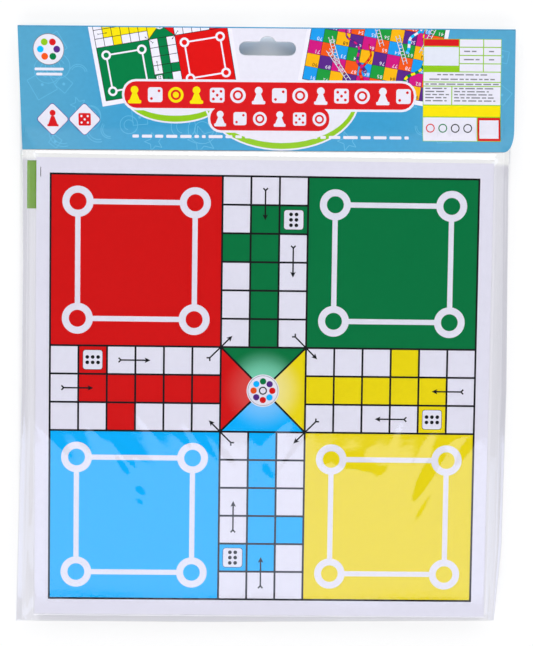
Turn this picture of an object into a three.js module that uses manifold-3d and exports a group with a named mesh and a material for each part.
// A flat-packed board game: a reversible board, ludo on its face and snakes and ladders on its back, in a
// clear film bag under a folded header card, with the pawns and the die in a small pouch behind the board.
// Millimetres. The pack lies on its back: +X to the right, +Y towards the header, +Z out of the board's face.
// The origin is under the board's centre, on the surface that the pack lies on.

import * as THREE from 'three';
import { ConvexGeometry } from 'three/addons/geometries/ConvexGeometry.js';
import { mergeVertices } from 'three/addons/utils/BufferGeometryUtils.js';
import Module from 'manifold-3d';

const wasm = await Module();
wasm.setup();

// Driving dimensions: the board
const CELL = 16;
const TRACK_CELLS = 15;
const SIDE_MARGIN = 8;
const END_MARGIN = 9;
const CORE_THICKNESS = 1.6;
const FACING_THICKNESS = 0.2;

// Driving dimensions: the film bag
const FILM = 0.2;
const LAYER_GAP = 0.1;
const FILM_SLACK = 1;
const SIDE_FLANK = 5;
const FOOT_FLANK = 4;
const MOUTH_FLANK = 3;
const SEAL_WIDTH = 4;
const FOLD_WIDTH = 0.5;
const BELLY_SLOPE_RUN = 25;

// Driving dimensions: the header card and its hang slot
const HEADER_WIDTH = 279;
const HEADER_HEIGHT = 68.4;
const CARD_THICKNESS = 0.4;
const HEADER_SKEW = 0.45;
const HEADER_CLEARANCE = 0.3;
const CREASE_GAP = 0.3;
const CREASE_BEAD_RADIUS = 0.25;
const SLOT_LENGTH = 32;
const SLOT_HEIGHT = 7.8;
const SLOT_DROP = 11.3;
const BUMP_RADIUS = 5;
const BUMP_RISE = 3.1;
const BAG_BELOW_SLOT = 3;

// Driving dimensions: the pawns, the die, their pouch and the loose slip
const PAWN_COLOURS = { red: 0xd61b1e, green: 0x14753e, yellow: 0xecd928, blue: 0x1f8fe0 };
const PAWNS_PER_COLOUR = 4;
const PAWN_HEIGHT = 18;
const PAWN_BASE_RADIUS = 5;
const PAWN_RIM_HEIGHT = 1.8;
const PAWN_NECK_RADIUS = 1.9;
const PAWN_COLLAR_RADIUS = 2.8;
const PAWN_COLLAR_HEIGHT = 0.9;
const PAWN_HEAD_RADIUS = 3;
const DIE_SIZE = 10;
const DIE_CORNER_RATIO = 1.42;
const PIP_RADIUS = 0.9;
const PIP_DEPTH = 0.4;
const PIP_SPREAD = 2.5;
const ROW_GAP = 0.6;
const POUCH_FILM = 0.2;
const POUCH_PLAY = 0.2;
const POUCH_FLAP = 8;
const SLIP_WIDTH = 34;
const SLIP_LENGTH = 27;
const SLIP_THICKNESS = 0.3;
const SLIP_BELOW_EDGE = 1.6;

// Layers, from the surface that the pack lies on upwards
const pieceDepth = Math.max(2 * PAWN_BASE_RADIUS, DIE_SIZE);
const pouchBottom = FILM + LAYER_GAP;
const pouchDepth = pieceDepth + 2 * POUCH_PLAY + 2 * POUCH_FILM;
const boardBottom = pouchBottom + pouchDepth + LAYER_GAP;
const coreBottom = boardBottom + FACING_THICKNESS;
const coreTop = coreBottom + CORE_THICKNESS;
const boardTop = coreTop + FACING_THICKNESS;
const frontFilmBottom = boardTop + LAYER_GAP;
const packDepth = frontFilmBottom + FILM;
const seamLevel = packDepth / 2;

// Plan of the board, the bag and the header
const boardHalfWidth = (CELL * TRACK_CELLS) / 2 + SIDE_MARGIN;
const boardHalfLength = (CELL * TRACK_CELLS) / 2 + END_MARGIN;
const shoulderX = boardHalfWidth + FILM_SLACK;
const shoulderY = boardHalfLength + FILM_SLACK;
const sealX = shoulderX + SIDE_FLANK;
const footY = -(shoulderY + FOOT_FLANK);
const mouthY = shoulderY + MOUTH_FLANK;
const skew = THREE.MathUtils.degToRad(HEADER_SKEW);
const headerBottom = mouthY + HEADER_CLEARANCE + (HEADER_WIDTH / 2) * Math.sin(skew);
const headerTop = headerBottom + HEADER_HEIGHT * Math.cos(skew);
const bagTop = headerTop - SLOT_DROP - SLOT_HEIGHT / 2 - BAG_BELOW_SLOT;

// The row of pieces in the pouch
const pawnCount = PAWNS_PER_COLOUR * Object.keys(PAWN_COLOURS).length;
const rowPitch = pieceDepth + ROW_GAP;
const rowWidth = rowPitch * (pawnCount + 1);
const pouchWidth = rowWidth + 2 * POUCH_FILM;
const pouchLength = PAWN_HEIGHT + POUCH_PLAY + POUCH_FLAP + POUCH_FILM;
const rowFoot = -pouchLength / 2 + POUCH_FILM + POUCH_PLAY;
const rowLevel = pouchBottom + pouchDepth / 2;

const part = new THREE.Group();

function material(colour, roughness) {
  return new THREE.MeshStandardMaterial({ color: colour, roughness, metalness: 0 });
}

function clearMaterial(colour, opacity) {
  return new THREE.MeshStandardMaterial({
    color: colour, roughness: 0.12, metalness: 0, transparent: true, opacity,
  });
}

const paperWhite = material(0xe4e2f0, 0.55);
const greyboard = material(0x9a938a, 0.9);
const cardBlue = material(0x4da8d5, 0.5);
const slipGreen = material(0x82aa37, 0.6);
const dieWhite = material(0xf2f0ea, 0.35);
const bagFilm = clearMaterial(0xf4f6fa, 0.25);
const pouchFilm = clearMaterial(0xf0f3f6, 0.3);

function addMesh(parent, name, geometry, finish) {
  const mesh = new THREE.Mesh(geometry, finish);
  mesh.name = name;
  parent.add(mesh);
  return mesh;
}

// Booleans: a closed geometry becomes a solid, and a solid becomes a geometry again
function solidOf(geometry) {
  const bare = geometry.clone();
  bare.deleteAttribute('normal');
  bare.deleteAttribute('uv');
  const merged = mergeVertices(bare, 1e-5);
  return new wasm.Manifold(new wasm.Mesh({
    numProp: 3,
    vertProperties: new Float32Array(merged.attributes.position.array),
    triVerts: new Uint32Array(merged.index.array),
  }));
}

function geometryOf(solid) {
  const mesh = solid.getMesh();
  const geometry = new THREE.BufferGeometry();
  geometry.setAttribute('position', new THREE.BufferAttribute(mesh.vertProperties, 3));
  geometry.setIndex(new THREE.BufferAttribute(mesh.triVerts, 1));
  geometry.computeVertexNormals();
  return geometry;
}

// A box given by its lowest and highest corners
function boxBetween(low, high) {
  const size = high.map((value, i) => value - low[i]);
  const geometry = new THREE.BoxGeometry(...size);
  geometry.translate(...low.map((value, i) => value + size[i] / 2));
  return geometry;
}

// The board: a greyboard core between two printed paper facings
function addBoard() {
  const layer = (bottom, top) => boxBetween(
    [-boardHalfWidth, -boardHalfLength, bottom],
    [boardHalfWidth, boardHalfLength, top],
  );
  addMesh(part, 'ladders_face', layer(boardBottom, coreBottom), paperWhite);
  addMesh(part, 'board_core', layer(coreBottom, coreTop), greyboard);
  addMesh(part, 'ludo_face', layer(coreTop, boardTop), paperWhite);
}

// A four-sided tent between two level rectangles, each given as [x half, y low, y high, z]
function tent(lower, upper) {
  const corners = [];
  for (const [halfX, lowY, highY, z] of [lower, upper]) {
    for (const x of [-halfX, halfX]) {
      for (const y of [lowY, highY]) {
        corners.push(new THREE.Vector3(x, y, z));
      }
    }
  }
  return solidOf(new ConvexGeometry(corners));
}

// One film of the bag: a tented panel in a flat margin, which is sealed at the sides, folded at the foot and
// runs up under the header at the mouth. flat is the panel's level face, and seam is the margin's two levels.
function filmPanel(flat, flatInside, seamInside, seamOutside) {
  const rim = (spread, z) => [sealX + spread, footY - spread, mouthY + spread, z];
  const grown = ([halfX, lowY, highY, z]) => [halfX + FILM, lowY - FILM, highY + FILM, z];
  const margin = solidOf(boxBetween(
    [-sealX - SEAL_WIDTH, footY - FOLD_WIDTH, Math.min(seamInside, seamOutside)],
    [sealX + SEAL_WIDTH, bagTop, Math.max(seamInside, seamOutside)],
  ));
  const past = seamInside + Math.sign(seamInside - flat[3]) * LAYER_GAP;
  const outside = tent(grown(flat), rim(FILM, seamInside));
  const inside = tent([flat[0], flat[1], flat[2], flatInside], rim(0, past));
  return geometryOf(margin.add(outside).subtract(inside));
}

function addBag() {
  const front = [shoulderX, -shoulderY, shoulderY, packDepth];
  const frontSeam = seamLevel + LAYER_GAP / 2;
  addMesh(part, 'bag_front_film', filmPanel(front, frontFilmBottom, frontSeam, frontSeam + FILM), bagFilm);
  const back = [sealX - BELLY_SLOPE_RUN, footY + BELLY_SLOPE_RUN, mouthY - BELLY_SLOPE_RUN, 0];
  const backSeam = seamLevel - LAYER_GAP / 2;
  addMesh(part, 'bag_back_film', filmPanel(back, FILM, backSeam, backSeam - FILM), bagFilm);
}

// The hang slot: a bar with round ends and a round bump above its middle, about the bar's centre
function hangSlot(centreY) {
  const half = SLOT_HEIGHT / 2;
  const endX = SLOT_LENGTH / 2 - half;
  const bumpY = half + BUMP_RISE - BUMP_RADIUS;
  const bumpAngle = Math.asin((half - bumpY) / BUMP_RADIUS);
  const slot = new THREE.Path();
  slot.absarc(-endX, centreY, half, -Math.PI / 2, -Math.PI * 1.5, true);
  slot.absarc(0, centreY + bumpY, BUMP_RADIUS, Math.PI - bumpAngle, bumpAngle, true);
  slot.absarc(endX, centreY, half, Math.PI / 2, -Math.PI / 2, true);
  slot.closePath();
  return slot;
}

// A panel of the card in the header's own frame: the crease lies along X at the origin, the panel hangs below
function cardPanel(topY, bottomZ) {
  const outline = new THREE.Shape([
    new THREE.Vector2(-HEADER_WIDTH / 2, -HEADER_HEIGHT),
    new THREE.Vector2(HEADER_WIDTH / 2, -HEADER_HEIGHT),
    new THREE.Vector2(HEADER_WIDTH / 2, topY),
    new THREE.Vector2(-HEADER_WIDTH / 2, topY),
  ]);
  outline.holes.push(hangSlot(-SLOT_DROP));
  const panel = new THREE.ExtrudeGeometry(outline, {
    depth: CARD_THICKNESS, bevelEnabled: false, curveSegments: 8,
  });
  panel.translate(0, 0, bottomZ);
  return panel;
}

// The header card: two panels over the bag's mouth, the back one hinged on the crease's bead
function addHeader() {
  const header = new THREE.Group();
  header.position.set(0, headerTop, seamLevel);
  header.rotation.z = skew;
  part.add(header);
  const halfGap = FILM + LAYER_GAP * 1.5;
  const bead = new THREE.CylinderGeometry(CREASE_BEAD_RADIUS, CREASE_BEAD_RADIUS, HEADER_WIDTH, 12);
  bead.rotateZ(Math.PI / 2);
  const web = boxBetween(
    [-HEADER_WIDTH / 2, -CREASE_BEAD_RADIUS, 0],
    [HEADER_WIDTH / 2, 0, halfGap + CARD_THICKNESS / 2],
  );
  const front = solidOf(cardPanel(0, halfGap)).add(solidOf(web)).add(solidOf(bead));
  addMesh(header, 'header_front_panel', geometryOf(front), cardBlue);
  const back = solidOf(cardPanel(-CREASE_GAP, -halfGap - CARD_THICKNESS));
  addMesh(header, 'header_back_panel', geometryOf(back), cardBlue);
}

// The pawn's half outline, from the middle of its base to the top of its head
function pawnOutline() {
  const headY = PAWN_HEIGHT - PAWN_HEAD_RADIUS;
  const headStart = Math.asin(PAWN_NECK_RADIUS / PAWN_HEAD_RADIUS);
  const collarTop = headY - PAWN_HEAD_RADIUS * Math.cos(headStart);
  const collarBottom = collarTop - PAWN_COLLAR_HEIGHT;
  const outline = [
    [0, 0],
    [PAWN_BASE_RADIUS, 0],
    [PAWN_BASE_RADIUS, PAWN_RIM_HEIGHT],
    [PAWN_COLLAR_RADIUS, PAWN_RIM_HEIGHT + (collarBottom - PAWN_RIM_HEIGHT) / 3],
    [PAWN_NECK_RADIUS, collarBottom],
    [PAWN_COLLAR_RADIUS, collarBottom + PAWN_COLLAR_HEIGHT / 2],
    [PAWN_NECK_RADIUS, collarTop],
  ].map(([radius, height]) => new THREE.Vector2(radius, height));
  const headSteps = 5;
  for (let step = 1; step < headSteps; step += 1) {
    const angle = headStart + ((Math.PI - headStart) * step) / headSteps;
    outline.push(new THREE.Vector2(
      PAWN_HEAD_RADIUS * Math.sin(angle),
      headY - PAWN_HEAD_RADIUS * Math.cos(angle),
    ));
  }
  outline.push(new THREE.Vector2(0, PAWN_HEIGHT));
  return outline;
}

function placeInRow(mesh, index) {
  mesh.position.set(-rowWidth / 2 + rowPitch * (index + 0.5), rowFoot, rowLevel);
}

// The pawns lie side by side with their bases at the pouch's closed end; a lathe turns about Y
function addPawns() {
  const shape = new THREE.LatheGeometry(pawnOutline(), 14);
  let place = 0;
  for (const [colour, value] of Object.entries(PAWN_COLOURS)) {
    const plastic = material(value, 0.3);
    for (let number = 1; number <= PAWNS_PER_COLOUR; number += 1) {
      placeInRow(addMesh(part, `${colour}_pawn_${number}`, shape, plastic), place);
      place += 1;
    }
  }
}

// Pip places on a face, in steps of the pip spread
function pipPlaces(count) {
  const corners = [[-1, -1], [1, 1], [-1, 1], [1, -1]];
  const sides = [[-1, 0], [1, 0]];
  const places = count > 1 ? corners.slice(0, count < 4 ? 2 : 4) : [];
  if (count === 6) {
    places.push(...sides);
  }
  if (count % 2 === 1) {
    places.push([0, 0]);
  }
  return places;
}

// The die: a cube whose corners a ball rounds off, with shallow pips; opposite faces add up to seven
function addDie() {
  const half = DIE_SIZE / 2;
  let die = solidOf(new THREE.BoxGeometry(DIE_SIZE, DIE_SIZE, DIE_SIZE));
  die = die.intersect(solidOf(new THREE.SphereGeometry(half * DIE_CORNER_RATIO, 24, 16)));
  const faceTurns = [[1, 0, 0], [6, Math.PI, 0], [2, Math.PI / 2, 0], [5, -Math.PI / 2, 0],
    [3, 0, Math.PI / 2], [4, 0, -Math.PI / 2]];
  for (const [count, turnX, turnY] of faceTurns) {
    for (const [across, along] of pipPlaces(count)) {
      const pip = new THREE.CylinderGeometry(PIP_RADIUS, PIP_RADIUS, 2 * PIP_DEPTH, 8);
      pip.rotateX(Math.PI / 2);
      pip.translate(across * PIP_SPREAD, along * PIP_SPREAD, half);
      pip.rotateX(turnX);
      pip.rotateY(turnY);
      die = die.subtract(solidOf(pip));
    }
  }
  const geometry = geometryOf(die);
  geometry.translate(0, half, 0);
  placeInRow(addMesh(part, 'die', geometry, dieWhite), pawnCount);
}

// The pouch: a thin flat pocket round the row, open at the end towards the header
function addPouch() {
  const low = [-pouchWidth / 2, -pouchLength / 2, pouchBottom];
  const high = [pouchWidth / 2, pouchLength / 2, pouchBottom + pouchDepth];
  const hollowLow = low.map((value) => value + POUCH_FILM);
  const hollowHigh = [high[0] - POUCH_FILM, high[1] + POUCH_FLAP, high[2] - POUCH_FILM];
  const pouch = solidOf(boxBetween(low, high)).subtract(solidOf(boxBetween(hollowLow, hollowHigh)));
  addMesh(part, 'pawn_pouch', geometryOf(pouch), pouchFilm);
}

// The loose paper slip: its end is caught between the films beside the left seal, the rest lies behind the board
function addSlip() {
  const filmRise = (seamLevel - FILM) / BELLY_SLOPE_RUN;
  const pinch = (SLIP_THICKNESS / 2 + FILM + LAYER_GAP) / filmRise;
  const left = -sealX + pinch;
  const top = boardHalfLength - SLIP_BELOW_EDGE;
  addMesh(part, 'green_slip', boxBetween(
    [left, top - SLIP_LENGTH, seamLevel - SLIP_THICKNESS / 2],
    [left + SLIP_WIDTH, top, seamLevel + SLIP_THICKNESS / 2],
  ), slipGreen);
}

addBoard();
addBag();
addHeader();
addPouch();
addPawns();
addDie();
addSlip();

export default part;
